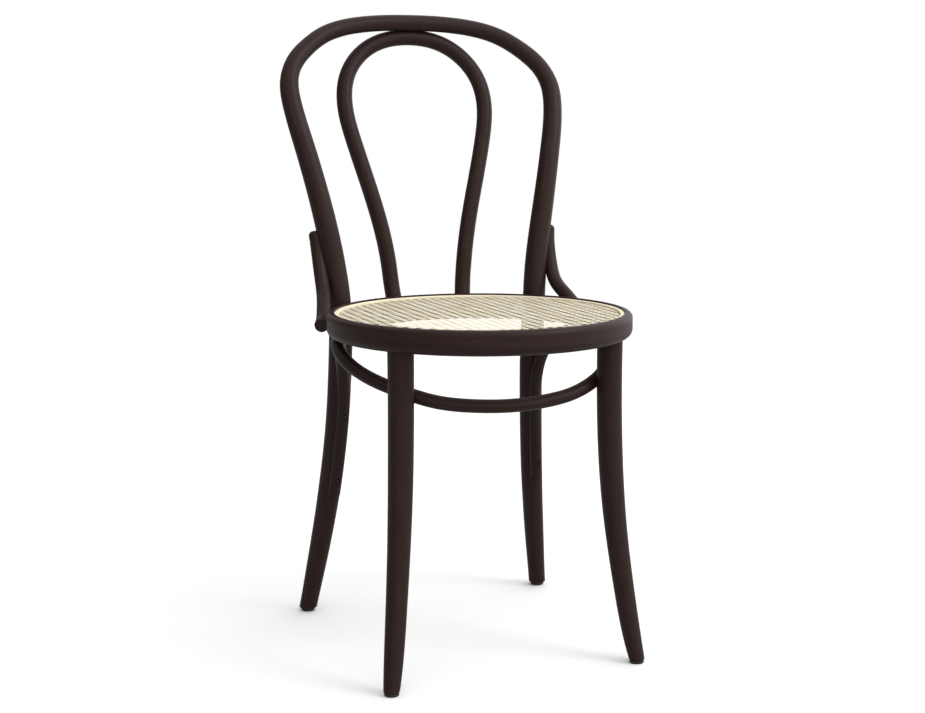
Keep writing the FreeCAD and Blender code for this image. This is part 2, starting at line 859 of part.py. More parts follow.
def leg_glued(side):
    """The space of a front leg's upper half, with glue, that is cut out of the leg hoop."""
    axis = leg_axis()
    turn = radians(size("leg_splay_angle"))
    wires = []
    for key, level in LEG_STATIONS[3:]:
        bend = size(f"leg_{key}_bend")
        centre = Vector(side * (axis.x + bend * sin(turn)), axis.y - bend * cos(turn), size(level))
        radius = size(f"leg_{key}_thick") / 2 + size("glue_gap")
        wires.append(Part.Wire([Part.makeCircle(radius, centre)]))
    top = Vector(side * axis.x, axis.y, TOP - size("ring_depth"))
    wires.append(Part.Wire([Part.makeCircle(size("leg_top_thick") / 2 + size("glue_gap"), top)]))
    name = "leg_glued_right" if side > 0 else "leg_glued_left"
    return feature(name, Part.makeLoft(wires, True, False))


# Feet: where each one stands, for its glide and nail


def foot_places():
    foot = upright_at(size("glide_height"))
    axis = leg_axis()
    turn = radians(size("leg_splay_angle"))
    front = Vector(axis.x + size("leg_foot_bend") * sin(turn),
                   axis.y - size("leg_foot_bend") * cos(turn), 0)
    rear = Vector(foot.x, foot.y, 0)
    return {"front_right": front, "front_left": mirrored(front),
            "rear_right": rear, "rear_left": mirrored(rear)}


FEET = foot_places()


def nail_drills(*names):
    """The hole for the glide's nail, up into each named foot."""
    cutters = []
    for name in names:
        cutters.append(drill(FEET[name], Vector(0, 0, 1),
                             "sizes.nail_thick + 2 * sizes.drill_clearance",
                             "sizes.nail_length + sizes.drill_clearance"))
    return cutters


def make_glide(name):
    """A disc with a rounded lower edge and a counterbore that hides the nail's head."""
    body = turned("glide_" + name, [
        ("sizes.nail_thick / 2 + sizes.drill_clearance", "sizes.nail_sink + sizes.nail_head_height"),
        ("sizes.nail_head / 2 + sizes.head_clearance", "sizes.nail_sink + sizes.nail_head_height"),
        ("sizes.nail_head / 2 + sizes.head_clearance", "0"),
        ("sizes.glide_thick / 2", "0"),
        ("sizes.glide_thick / 2", "sizes.glide_height"),
        ("sizes.nail_thick / 2 + sizes.drill_clearance", "sizes.glide_height")])
    rounded(body, "sizes.glide_round",
            lambda radius, z: near(radius, size("glide_thick") / 2) and near(z, 0))
    body.Placement = Placement(FEET[name], Rotation())
    return body


# Fasteners: one of each is turned, then set at every place of its group


def turned_screw(length):
    body = turned(length + "_pattern", [
        ("0", "0"), ("sizes.screw_thick / 2", "sizes.screw_tip"),
        ("sizes.screw_thick / 2", f"sizes.{length}"), ("sizes.screw_head / 2", f"sizes.{length}"),
        ("sizes.screw_head / 2", f"sizes.{length} + sizes.screw_head_height / 2"),
        ("sizes.screw_head / 3", f"sizes.{length} + sizes.screw_head_height"),
        ("0", f"sizes.{length} + sizes.screw_head_height")])
    slot = doc.addObject("Part::Box", length + "_slot")
    bind(slot, Length="sizes.screw_head", Width="sizes.screw_slot", Height="sizes.screw_slot_depth")
    slot.Placement.Base = Vector(-size("screw_head") / 2, -size("screw_slot") / 2,
                                 size(length) + size("screw_head_height") - size("screw_slot_depth"))
    return cut(body, [slot], length + "_slotted")


def group_of(name, pattern, placements):
    """Identical fasteners in one node, each its own solid."""
    copies = [pattern.Shape.transformed(placement.toMatrix(), True) for placement in placements]
    return feature(name, Part.makeCompound(copies))


def make_screws():
    patterns = {length: turned_screw(length) for length in ("long_screw", "short_screw", "lock_screw")}
    doc.recompute()
    groups = []
    for name, places in SCREWS.items():
        length = places[0][2]
        placements = [along(start.add(way * size(length)), -way) for start, way, _ in places]
        groups.append(group_of(name, patterns[length], placements))
    return groups


def make_seat_bolts():
    start, inward = seat_bolt_place()
    nut_inside = RING - size("ring_width") + size("washer_seat") - size("washer_thick")
    nut_inside -= size("nut_height") + size("bolt_end")
    outside = UPRIGHT_JOINT_RADIUS + size("joint_thick") / 2 - size("bolt_sink")
    length = outside - nut_inside
    bolt = turned("bolt_pattern", [
        ("0", "0"), ("sizes.bolt_thick / 2 - 0.5", "0"), ("sizes.bolt_thick / 2", "0.5"),
        ("sizes.bolt_thick / 2", str(length)), ("sizes.bolt_head / 2", str(length)),
        ("sizes.bolt_head / 2", f"{length} + sizes.bolt_head_height / 3"),
        ("sizes.bolt_head / 4", f"{length} + sizes.bolt_head_height"),
        ("0", f"{length} + sizes.bolt_head_height")])
    tips = [along(turn(start.add(inward * length)), turn(inward * -1)) for turn in (Vector, mirrored)]
    bolts = group_of("seat_bolts", bolt, tips)
    bore = "sizes.bolt_thick / 2 + sizes.drill_clearance"
    washer = turned("washer_pattern", [
        (bore, "0"), ("sizes.washer_across / 2", "0"),
        ("sizes.washer_across / 2", "sizes.washer_thick"), (bore, "sizes.washer_thick")])
    seat = start.add(inward * (outside - RING + size("ring_width") - size("washer_seat")))
    washers = group_of("seat_bolt_washers", washer,
                       [along(turn(seat), turn(inward)) for turn in (Vector, mirrored)])
    nut = named("Part::Prism", "nut_prism")
    nut.Polygon = 6
    bind(nut, Circumradius="sizes.nut_across / 2 / cos(30)", Height="sizes.nut_height")
    hole = doc.addObject("Part::Cylinder", "nut_hole")
    bind(hole, Radius=bore, Height="sizes.nut_height")
    drilled = cut(nut, [hole], "nut_pattern")
    doc.recompute()
    face = seat.add(inward * size("washer_thick"))
    nuts = group_of("seat_bolt_nuts", drilled,
                    [along(turn(face), turn(inward)) for turn in (Vector, mirrored)])
    return [bolts, washers, nuts]


def make_nails():
    nail = turned("nail_pattern", [
        ("0", "0"), ("sizes.nail_head / 2", "0"), ("sizes.nail_head / 2", "sizes.nail_head_height"),
        ("sizes.nail_thick / 2", "sizes.nail_head_height"),
        ("sizes.nail_thick / 2", "sizes.nail_length - 3 - sizes.nail_sink"),
        ("0", "sizes.nail_length - sizes.nail_sink")])
    seats = [Placement(foot.add(Vector(0, 0, size("nail_sink"))), Rotation()) for foot in FEET.values()]
    return group_of("glide_nails", nail, seats)


# The pieces, each cut to fit what it touches


def make_chair():
    outer, outer_glued, loop, hoop, arch_right, arch_left = make_rods()
    saddle = make_ring_saddle()
    start, inward = seat_bolt_place()
    bolt_holes = []
    for turn in (Vector, mirrored):
        bolt_holes.append(drill(turn(start), turn(inward),
                                "sizes.bolt_thick + 2 * sizes.drill_clearance", "sizes.joint_thick"))
        bolt_holes.append(drill(turn(start), turn(inward * -1),
                                "sizes.bolt_head + 2 * sizes.head_clearance",
                                "sizes.bolt_head"))
    pieces = []
    seated = cut(outer, [saddle], "outer_rod_seated")
    pieces.append(cut(seated, bolt_holes + nail_drills("rear_right", "rear_left")
                      + screw_drills("crown_screws", "arch_top_screws", "hoop_rear_screws"),
                      "back_frame"))
    loop_seated = cut(cut(loop, [saddle], "loop_seated"), [outer_glued], "loop_fitted")
    pieces.append(cut(loop_seated, screw_drills("loop_foot_screws", "crown_screws"), "inner_loop"))
    pieces.append(make_seat_ring())
    pieces.append(make_cane_panel())
    pieces.append(make_cane_spline())
    for name, side in (("right", 1), ("left", -1)):
        blank = make_front_leg("front_leg_" + name, side)
        pieces.append(cut(blank, screw_drills("hoop_front_screws", "leg_lock_screws")
                          + nail_drills("front_" + name), "front_leg_" + name))
    hoop_fitted = cut(cut(hoop, [outer_glued], "hoop_on_rear_legs"), [leg_glued(1), leg_glued(-1)],
                      "hoop_fitted")
    pieces.append(cut(hoop_fitted, screw_drills("hoop_front_screws", "hoop_rear_screws"), "leg_hoop"))
    for name, arch in (("right", arch_right), ("left", arch_left)):
        fitted = cut(cut(arch, [outer_glued], f"arch_{name}_on_upright"), [saddle],
                     f"arch_{name}_fitted")
        pieces.append(cut(fitted, screw_drills("arch_top_screws", "arch_end_screws"),
                          "side_arch_" + name))
    pieces += [make_glide(name) for name in FEET]
    pieces += make_seat_bolts()
    pieces += make_screws()
    pieces.append(make_nails())
    return pieces


GROUPS = ("screws", "bolts", "washers", "nuts", "nails")


def check(pieces):
    """Stops where the document holds a failed object, or a piece isn't sound."""
    for thing in doc.Objects:
        if "Invalid" in thing.State or "Error" in thing.State:
            raise RuntimeError(f"{thing.Label} failed")
    for piece in pieces:
        shape = piece.Shape
        if shape.isNull() or not shape.isValid():
            raise RuntimeError(f"{piece.Label} isn't sound")
        if not piece.Label.endswith(GROUPS) and len(shape.Solids) != 1:
            raise RuntimeError(f"{piece.Label} has {len(shape.Solids)} solids")


chair = make_chair()
doc.recompute()
check(chair)
os.makedirs("parts", exist_ok=True)
for piece in chair:
    piece.Shape.exportStep(f"parts/{piece.Label}.step")
    box = piece.Shape.BoundBox
    print(f"{piece.Label:20s} solids {len(piece.Shape.Solids)} volume {piece.Shape.Volume / 1000:8.1f} cm3")
print(f"whole chair: axis {AXIS_Y:.2f}, rearmost {REARMOST + AXIS_Y:.2f}")
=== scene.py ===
from math import pi, radians, sqrt

import bmesh
import bpy
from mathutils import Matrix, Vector


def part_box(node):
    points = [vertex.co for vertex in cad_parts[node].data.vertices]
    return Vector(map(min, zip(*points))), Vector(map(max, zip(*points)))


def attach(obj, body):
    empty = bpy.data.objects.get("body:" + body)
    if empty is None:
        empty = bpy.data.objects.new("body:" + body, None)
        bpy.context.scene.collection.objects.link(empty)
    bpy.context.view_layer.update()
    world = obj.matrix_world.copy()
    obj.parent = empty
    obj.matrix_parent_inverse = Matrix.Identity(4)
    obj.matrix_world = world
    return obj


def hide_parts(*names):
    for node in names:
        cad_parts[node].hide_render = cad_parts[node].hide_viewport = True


# A bentwood bistro chair: stained beech rods bent to hoops, a bent seat ring with a pressed-in
# sheet of woven cane, and small steel fastenings. Metres, +Z up, the front of the chair towards -Y.

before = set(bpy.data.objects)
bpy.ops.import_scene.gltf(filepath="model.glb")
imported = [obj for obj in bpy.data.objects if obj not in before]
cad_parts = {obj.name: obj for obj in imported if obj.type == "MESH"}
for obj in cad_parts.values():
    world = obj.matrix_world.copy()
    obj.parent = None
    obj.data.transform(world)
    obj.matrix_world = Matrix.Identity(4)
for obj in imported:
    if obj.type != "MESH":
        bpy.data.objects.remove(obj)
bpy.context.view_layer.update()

MM = 0.001
SEAT_Y = (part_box("seat_ring")[0].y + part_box("seat_ring")[1].y) / 2
CHAIR_MIDDLE = (0, 0, 0.5)

# The photograph's size and the camera solved from it. The focal length and the place of the optical
# axis are in pixels, and the eye stands this far from the seat's axis at floor height.
PHOTO_WIDE, PHOTO_HIGH = 925, 713
FOCAL_LENGTH = 1557.5
AXIS_U, AXIS_V = 468.5, 356.7
EYE_X, EYE_Y, EYE_Z = -0.7278, -1.9103, 0.7199
DEGREES_DOWN, DEGREES_ROUND = 8.956, 20.452
SENSOR_WIDE = 36.0


# Small helpers


def linear(code):
    """An sRGB hex colour as the linear red, green, blue and alpha that a shader takes."""
    channels = [int(code[i:i + 2], 16) / 255 for i in (1, 3, 5)]
    return [c / 12.92 if c <= 0.04045 else ((c + 0.055) / 1.055) ** 2.4 for c in channels] + [1.0]


def add(tree, kind, links=None, stops=(), **settings):
    """Adds a node with its settings and links, and the stops of a colour ramp. A link gives an input,
    by name or number, a socket, a node whose first output is meant, or a plain value."""
    node = tree.nodes.new(kind)
    for key, value in settings.items():
        setattr(node, key, value)
    for key, value in (links or {}).items():
        if isinstance(value, bpy.types.Node):
            value = value.outputs[0]
        if isinstance(value, bpy.types.NodeSocket):
            tree.links.new(value, node.inputs[key])
        else:
            node.inputs[key].default_value = value
    for number, (place, tone) in enumerate(stops):
        marks = node.color_ramp.elements
        mark = marks[number] if number < len(marks) else marks.new(place)
        mark.position, mark.color = place, linear(tone)
    return node


def new_material(name, look, constants):
    """A material whose shader takes its linked and its constant values."""
    material = bpy.data.materials.new(name)
    material.use_nodes = True
    tree = material.node_tree
    tree.nodes.clear()
    shader = add(tree, "ShaderNodeBsdfPrincipled", dict(look(tree), **constants))
    add(tree, "ShaderNodeOutputMaterial", {"Surface": shader})
    return material


# Grain directions, from the place on the piece


def upright_grain(tree):
    """Grain that runs up a leg or an arch."""
    return add(tree, "ShaderNodeTexCoord").outputs["Object"]


def ring_grain(tree):
    """Straightens the ring: the grain of a bent ring runs round it, and is spliced at the back."""
    mean_radius = 0.19
    place = add(tree, "ShaderNodeTexCoord").outputs["Object"]
    centred = add(tree, "ShaderNodeVectorMath", {0: place, 1: (0, SEAT_Y, 0)}, operation="SUBTRACT")
    parts = add(tree, "ShaderNodeSeparateXYZ", {0: centred}).outputs
    front = add(tree, "ShaderNodeMath", {0: parts["Y"], 1: -1.0}, operation="MULTIPLY")
    angle = add(tree, "ShaderNodeMath", {0: parts["X"], 1: front}, operation="ARCTAN2")
    length = add(tree, "ShaderNodeMath", {0: angle, 1: mean_radius}, operation="MULTIPLY")
    flat = add(tree, "ShaderNodeCombineXYZ", {0: parts["X"], 1: parts["Y"]})
    reach = add(tree, "ShaderNodeVectorMath", {0: flat}, operation="LENGTH")
    return add(tree, "ShaderNodeCombineXYZ", {0: reach.outputs["Value"], 1: parts["Z"], 2: length})


def hoop_grain(middle, bend):
    """Grain that climbs one upright, turns over the crown and comes down the other, for a rod bent to
    an upright hoop. The bend starts at a middle height and has a mean radius."""
    def coordinates(tree):
        place = add(tree, "ShaderNodeTexCoord").outputs["Object"]
        parts = add(tree, "ShaderNodeSeparateXYZ", {0: place}).outputs
        above = add(tree, "ShaderNodeMath", {0: parts["Z"], 1: middle}, operation="SUBTRACT")
        rise = add(tree, "ShaderNodeMath", {0: above, 1: 0.0}, operation="MAXIMUM")
        below = add(tree, "ShaderNodeMath", {0: above, 1: 0.0}, operation="MINIMUM")
        angle = add(tree, "ShaderNodeMath", {0: rise, 1: parts["X"]}, operation="ARCTAN2")
        round_top = add(tree, "ShaderNodeMath", {0: angle, 1: bend}, operation="MULTIPLY")
        side = add(tree, "ShaderNodeMath", {0: parts["X"]}, operation="SIGN")
        down = add(tree, "ShaderNodeMath", {0: below, 1: side}, operation="MULTIPLY")
        length = add(tree, "ShaderNodeMath", {0: round_top, 1: down}, operation="ADD")
        flat = add(tree, "ShaderNodeCombineXYZ", {0: parts["X"], 1: rise})
        reach = add(tree, "ShaderNodeVectorMath", {0: flat}, operation="LENGTH")
        return add(tree, "ShaderNodeCombineXYZ", {0: reach.outputs["Value"], 1: parts["Y"], 2: length})
    return coordinates


def brace_grain(tree):
    """Grain of the leg hoop: round the seat's axis along the bow, upright along the rear legs."""
    legs_top, rear_starts = 0.372, 0.03
    around = ring_grain(tree)
    place = add(tree, "ShaderNodeTexCoord").outputs["Object"]
    parts = add(tree, "ShaderNodeSeparateXYZ", {0: place}).outputs
    low = add(tree, "ShaderNodeMath", {0: parts["Z"], 1: legs_top}, operation="LESS_THAN")
    rear = add(tree, "ShaderNodeMath", {0: parts["Y"], 1: rear_starts}, operation="GREATER_THAN")
    climbs = add(tree, "ShaderNodeMath", {0: low, 1: rear}, operation="MULTIPLY")
    return add(tree, "ShaderNodeMix", {0: climbs, 4: around, 5: place}, data_type="VECTOR").outputs[1]


# Finishes


def stained_beech(coordinates):
    """Steam-bent beech, stained nearly black-brown and satin lacquered: an even dark colour in which
    slow streaks and fine short pores just show, with a soft broad sheen."""
    def look(tree):
        where = coordinates(tree)
        # Beech pores are about 0.1 mm wide and 2 mm long, drawn 1 mm wide so that they show.
        fine = add(tree, "ShaderNodeMapping", {"Vector": where, "Scale": (1000, 1000, 45)})
        pores = add(tree, "ShaderNodeTexNoise", {"Vector": fine, "Scale": 1.0, "Detail": 3.0,
                                                 "Roughness": 0.6})
        # Growth rings cut lengthways: streaks 8 mm wide that run about 200 mm.
        wide = add(tree, "ShaderNodeMapping", {"Vector": where, "Scale": (125, 125, 5)})
        streaks = add(tree, "ShaderNodeTexNoise", {"Vector": wide, "Scale": 1.0, "Detail": 4.0,
                                                   "Roughness": 0.5})
        tone = add(tree, "ShaderNodeValToRGB", {"Fac": streaks},
                   stops=[(0.3, "#281A18"), (0.52, "#2B1D1A"), (0.78, "#31211E")])
        in_pore = add(tree, "ShaderNodeMapRange", {"Value": pores, "From Min": 0.36, "From Max": 0.47,
                                                   "To Min": 1.0, "To Max": 0.0})
        colour = add(tree, "ShaderNodeMix", {0: in_pore, 6: tone, 7: linear("#221815")},
                     data_type="RGBA")
        gloss = add(tree, "ShaderNodeMapRange", {"Value": streaks, "To Min": 0.38, "To Max": 0.44})
        relief = add(tree, "ShaderNodeBump", {"Height": pores, "Strength": 0.06, "Distance": 0.0002})
        return {"Base Color": colour.outputs[2], "Roughness": gloss, "Normal": relief}
    return look


def rattan_skin(tree):
    """Outer skin of rattan, split into flat strands: straw cream, a little darker or greener from
    strand to strand, hard and smooth enough for a soft gleam."""
    place = add(tree, "ShaderNodeTexCoord").outputs["Object"]
    strand = add(tree, "ShaderNodeAttribute", attribute_name="strand").outputs["Fac"]
    # Nodes and stain marks of the cane lie some 20 mm apart.
    patches = add(tree, "ShaderNodeTexNoise", {"Vector": place, "Scale": 50.0, "Detail": 2.0})
    mixed = add(tree, "ShaderNodeMath", {0: strand, 1: patches}, operation="ADD")
    half = add(tree, "ShaderNodeMath", {0: mixed, 1: 0.5}, operation="MULTIPLY")
    tone = add(tree, "ShaderNodeValToRGB", {"Fac": half},
               stops=[(0.2, "#E6D8B2"), (0.5, "#F5EBCF"), (0.8, "#FBF5E3")])
    lines = add(tree, "ShaderNodeTexNoise", {"Vector": place, "Scale": 1400.0, "Detail": 1.0})
    relief = add(tree, "ShaderNodeBump", {"Height": lines, "Strength": 0.1, "Distance": 0.0001})
    return {"Base Color": tone, "Normal": relief}


def rattan_core(tree):
    """Rattan core, split and rounded: dull, tan to cream, with coarse fibres along it."""
    along = add(tree, "ShaderNodeMapping", {"Vector": ring_grain(tree), "Scale": (1500, 1500, 40)})
    fibres = add(tree, "ShaderNodeTexNoise", {"Vector": along, "Scale": 1.0, "Detail": 2.0})
    tone = add(tree, "ShaderNodeValToRGB", {"Fac": fibres},
               stops=[(0.3, "#DFCEAB"), (0.5, "#EFE3C7"), (0.75, "#F7EFDA")])
    relief = add(tree, "ShaderNodeBump", {"Height": fibres, "Strength": 0.2, "Distance": 0.0001})
    return {"Base Color": tone, "Normal": relief}


def turned_steel(dark, light, smooth):
    """Turned steel: fine tool marks break up its gloss."""
    uneven = 0.14

    def look(tree):
        place = add(tree, "ShaderNodeTexCoord").outputs["Object"]
        marks = add(tree, "ShaderNodeTexNoise", {"Vector": place, "Scale": 900.0, "Detail": 2.0})
        tone = add(tree, "ShaderNodeValToRGB", {"Fac": marks}, stops=[(0.3, dark), (0.7, light)])
        gloss = add(tree, "ShaderNodeMapRange", {"Value": marks, "To Min": smooth,
                                                 "To Max": smooth + uneven})
        return {"Base Color": tone, "Roughness": gloss}
    return look


def moulded_nylon(tree):
    """Dark moulded nylon of the glides: dull, with a fine spark-eroded grain."""
    place = add(tree, "ShaderNodeTexCoord").outputs["Object"]
    grit = add(tree, "ShaderNodeTexNoise", {"Vector": place, "Scale": 2500.0, "Detail": 1.0})
    tone = add(tree, "ShaderNodeValToRGB", {"Fac": grit}, stops=[(0.3, "#1B1716"), (0.7, "#252120")])
    relief = add(tree, "ShaderNodeBump", {"Height": grit, "Strength": 0.25, "Distance": 0.0001})
    return {"Base Color": tone, "Normal": relief}


# Rubbed-down satin lacquer mirrors less than clear gloss lacquer would.
LACQUERED = {"IOR": 1.45, "Specular IOR Level": 0.16}
upright_wood = new_material("stained beech, straight grain", stained_beech(upright_grain), LACQUERED)
frame_wood = new_material("stained beech, outer hoop", stained_beech(hoop_grain(middle=0.70, bend=0.18)),
                          LACQUERED)
loop_wood = new_material("stained beech, inner loop", stained_beech(hoop_grain(middle=0.72, bend=0.105)),
                         LACQUERED)
ring_wood = new_material("stained beech, seat ring", stained_beech(ring_grain), LACQUERED)
brace_wood = new_material("stained beech, leg hoop", stained_beech(brace_grain), LACQUERED)
cane = new_material("rattan skin", rattan_skin, {"Roughness": 0.42, "IOR": 1.46})
spline_reed = new_material("rattan core spline", rattan_core, {"Roughness": 0.62, "IOR": 1.5})
bolt_steel = new_material("zinc plated steel", turned_steel("#8E9093", "#B9BABD", 0.26), {"Metallic": 1.0})
screw_steel = new_material("browned steel", turned_steel("#362925", "#40322D", 0.40), {"Metallic": 1.0})
glide_nylon = new_material("dark moulded nylon", moulded_nylon, {"Roughness": 0.6, "IOR": 1.53})


# Woven cane: pairs of strands along and across the seat, and single slanting strands both ways,
# which leave eight-sided gaps. The sheet lies on the ring's shelf and dips into its groove.

CANE = {
    "Pitch": 12.8 * MM,
    "Pair Gap": 2.2 * MM,
    "Strand Width": 1.55 * MM,
    "Strand Thickness": 0.2 * MM,
    "Middle": 455.9 * MM,
    "Turn Down": 183.4 * MM,
    "Reach": 185.2 * MM,
    "Seat Centre": SEAT_Y,
}


def strand_tree(name, slanting):
    """Parallel strands along local X: a grid gives their samples, and each one is a flat ribbon. The
    grid's edges across the strands go, and those along them become the lines of the ribbons."""
    shortest_rung = 0.5 * MM
    fall_past_turn = 0.9
    # Keeps the number of every strand positive and away from the step between two whole numbers.
    first_number = 500.25
    corners = 6
    tree = bpy.data.node_groups.new(name, "GeometryNodeTree")
    face = tree.interface
    face.new_socket("Geometry", in_out="INPUT", socket_type="NodeSocketGeometry")
    for label in ("Step", "Spacing", "Shift", "Weave", "Turn", *CANE):
        face.new_socket(label, in_out="INPUT", socket_type="NodeSocketFloat")
    for label in ("Strands", "Samples"):
        face.new_socket(label, in_out="INPUT", socket_type="NodeSocketInt")
    face.new_socket("Finish", in_out="INPUT", socket_type="NodeSocketMaterial")
    face.new_socket("Geometry", in_out="OUTPUT", socket_type="NodeSocketGeometry")
    given = add(tree, "NodeGroupInput").outputs
    steps = add(tree, "ShaderNodeMath", {0: given["Samples"], 1: 1.0}, operation="SUBTRACT")
    gaps = add(tree, "ShaderNodeMath", {0: given["Strands"], 1: 1.0}, operation="SUBTRACT")
    length = add(tree, "ShaderNodeMath", {0: given["Step"], 1: steps}, operation="MULTIPLY")
    breadth = add(tree, "ShaderNodeMath", {0: given["Spacing"], 1: gaps}, operation="MULTIPLY")
    grid = add(tree, "GeometryNodeMeshGrid", {"Size X": length, "Size Y": breadth, "Vertices X":
                                              given["Samples"], "Vertices Y": given["Strands"]})
    bare = add(tree, "GeometryNodeDeleteGeometry", {"Geometry": grid}, domain="FACE", mode="ONLY_FACE")
    ends = add(tree, "GeometryNodeInputMeshEdgeVertices").outputs
    way = add(tree, "ShaderNodeVectorMath", {0: ends["Position 1"], 1: ends["Position 2"]},
              operation="SUBTRACT")
    across = add(tree, "ShaderNodeSeparateXYZ", {0: way}).outputs["Y"]
    sideways = add(tree, "ShaderNodeMath", {0: across}, operation="ABSOLUTE")
    rung = add(tree, "ShaderNodeMath", {0: sideways, 1: shortest_rung}, operation="GREATER_THAN")
    rows = add(tree, "GeometryNodeDeleteGeometry", {"Geometry": bare, "Selection": rung}, domain="EDGE")
    here = add(tree, "ShaderNodeSeparateXYZ", {0: add(tree, "GeometryNodeInputPosition")}).outputs
    run = here["X"]
    side = add(tree, "ShaderNodeMath", {0: here["Y"], 1: given["Shift"]}, operation="ADD")
    if slanting:
        # A slanting strand rises over one kind of pair and dips under the other.
        lean = add(tree, "ShaderNodeMath", {0: run, 1: side}, operation="SUBTRACT")
        turns = add(tree, "ShaderNodeMath", {0: lean, 1: given["Pitch"]}, operation="DIVIDE")
        phase = add(tree, "ShaderNodeMath", {0: turns, 1: sqrt(2) * pi}, operation="MULTIPLY")
        wave = add(tree, "ShaderNodeMath", {0: phase}, operation="COSINE")
    else:
        # Each strand passes over one strand of every crossing pair and under the other.
        half = add(tree, "ShaderNodeMath", {0: given["Pitch"], 1: 0.5}, operation="MULTIPLY")
        moved = add(tree, "ShaderNodeMath", {0: run, 1: half}, operation="ADD")
        within = add(tree, "ShaderNodeMath", {0: moved, 1: given["Pitch"]}, operation="FLOORED_MODULO")
        off = add(tree, "ShaderNodeMath", {0: within, 1: half}, operation="SUBTRACT")
        share = add(tree, "ShaderNodeMath", {0: off, 1: given["Pair Gap"]}, operation="DIVIDE")
        phase = add(tree, "ShaderNodeMath", {0: share, 1: pi}, operation="MULTIPLY")
        bend = add(tree, "ShaderNodeMath", {0: phase}, operation="SINE")
        size = add(tree, "ShaderNodeMath", {0: share}, operation="ABSOLUTE")
        near = add(tree, "ShaderNodeMath", {0: size, 1: 1.0}, operation="LESS_THAN")
        wave = add(tree, "ShaderNodeMath", {0: bend, 1: near}, operation="MULTIPLY")
    height = add(tree, "ShaderNodeMath", {0: wave, 1: given["Weave"]}, operation="MULTIPLY")
    flat = add(tree, "ShaderNodeCombineXYZ", {0: run, 1: side})
    radius = add(tree, "ShaderNodeVectorMath", {0: flat}, operation="LENGTH").outputs["Value"]
    over = add(tree, "ShaderNodeMath", {0: radius, 1: given["Turn Down"]}, operation="SUBTRACT")
    past = add(tree, "ShaderNodeMath", {0: over, 1: 0.0}, operation="MAXIMUM")
    dip = add(tree, "ShaderNodeMath", {0: past, 1: fall_past_turn}, operation="MULTIPLY")
    lifted = add(tree, "ShaderNodeMath", {0: given["Middle"], 1: height}, operation="ADD")
    level = add(tree, "ShaderNodeMath", {0: lifted, 1: dip}, operation="SUBTRACT")
    spot = add(tree, "ShaderNodeCombineXYZ", {0: run, 1: side, 2: level})
    turned = add(tree, "ShaderNodeVectorRotate", {"Vector": spot, "Angle": given["Turn"]},
                 rotation_type="Z_AXIS")
    seat = add(tree, "ShaderNodeCombineXYZ", {1: given["Seat Centre"]})
    place = add(tree, "ShaderNodeVectorMath", {0: turned, 1: seat}, operation="ADD")
    # Every strand has its own number from 0 to 1, which the finish turns into its shade.
    row = add(tree, "ShaderNodeMath", {0: here["Y"], 1: given["Spacing"]}, operation="DIVIDE")
    count = add(tree, "ShaderNodeMath", {0: row, 1: first_number}, operation="ADD")
    whole = add(tree, "ShaderNodeMath", {0: count}, operation="FLOOR")
    shade = add(tree, "FunctionNodeRandomValue", {2: 0.0, 3: 1.0, "ID": whole, "Seed": 7},
                data_type="FLOAT")
    shaded = add(tree, "GeometryNodeStoreNamedAttribute",
                 {"Geometry": rows, "Name": "strand", "Value": shade.outputs[1]}, data_type="FLOAT")
    outside = add(tree, "ShaderNodeMath", {0: radius, 1: given["Reach"]}, operation="GREATER_THAN")
    trimmed = add(tree, "GeometryNodeDeleteGeometry", {"Geometry": shaded, "Selection": outside},
                  domain="POINT")
    woven = add(tree, "GeometryNodeSetPosition", {"Geometry": trimmed, "Position": place})
    line = add(tree, "GeometryNodeMeshToCurve", {"Mesh": woven})
    level_line = add(tree, "GeometryNodeSetCurveNormal", {"Curve": line}, mode="Z_UP")
    wide = add(tree, "ShaderNodeMath", {0: given["Strand Width"], 1: 0.5}, operation="MULTIPLY")
    thin = add(tree, "ShaderNodeMath", {0: given["Strand Thickness"], 1: 0.5}, operation="MULTIPLY")
    section = add(tree, "ShaderNodeCombineXYZ", {0: wide, 1: thin, 2: 1.0})
    circle = add(tree, "GeometryNodeCurvePrimitiveCircle", {"Resolution": corners, "Radius": 1.0})
    flattened = add(tree, "GeometryNodeTransform", {"Geometry": circle, "Scale": section})
    ribbon = add(tree, "GeometryNodeCurveToMesh", {"Curve": level_line, "Profile Curve": flattened,
                                                   "Fill Caps": True})
    smooth = add(tree, "GeometryNodeSetShadeSmooth", {"Geometry": ribbon})
    real = add(tree, "GeometryNodeRealizeInstances", {"Geometry": smooth})
    painted = add(tree, "GeometryNodeSetMaterial", {"Geometry": real, "Material": given["Finish"]})
    add(tree, "NodeGroupOutput", {0: painted})
    return tree


def grown(name, tree, settings):
    """Runs a Geometry Nodes tree with its named inputs set and returns the plain mesh it makes."""
    start = bpy.data.objects.new(name, bpy.data.meshes.new(name))
    bpy.context.scene.collection.objects.link(start)
    work = start.modifiers.new("work", "NODES")
    work.node_group = tree
    for item in tree.interface.items_tree:
        if item.in_out == "INPUT" and item.name in settings:
            work[item.identifier] = settings[item.name]
    start.update_tag()
    ready = start.evaluated_get(bpy.context.evaluated_depsgraph_get())
    mesh = bpy.data.meshes.new_from_object(ready)
    bpy.data.objects.remove(start)
    return mesh


def piece_from(name, meshes):
    """One object at the origin from several meshes."""
    joined = bmesh.new()
    for mesh in meshes:
        joined.from_mesh(mesh)
    whole = bpy.data.meshes.new(name)
    joined.to_mesh(whole)
    joined.free()
    whole.materials.append(meshes[0].materials[0])
    thing = bpy.data.objects.new(name, whole)
    bpy.context.scene.collection.objects.link(thing)
    return thing


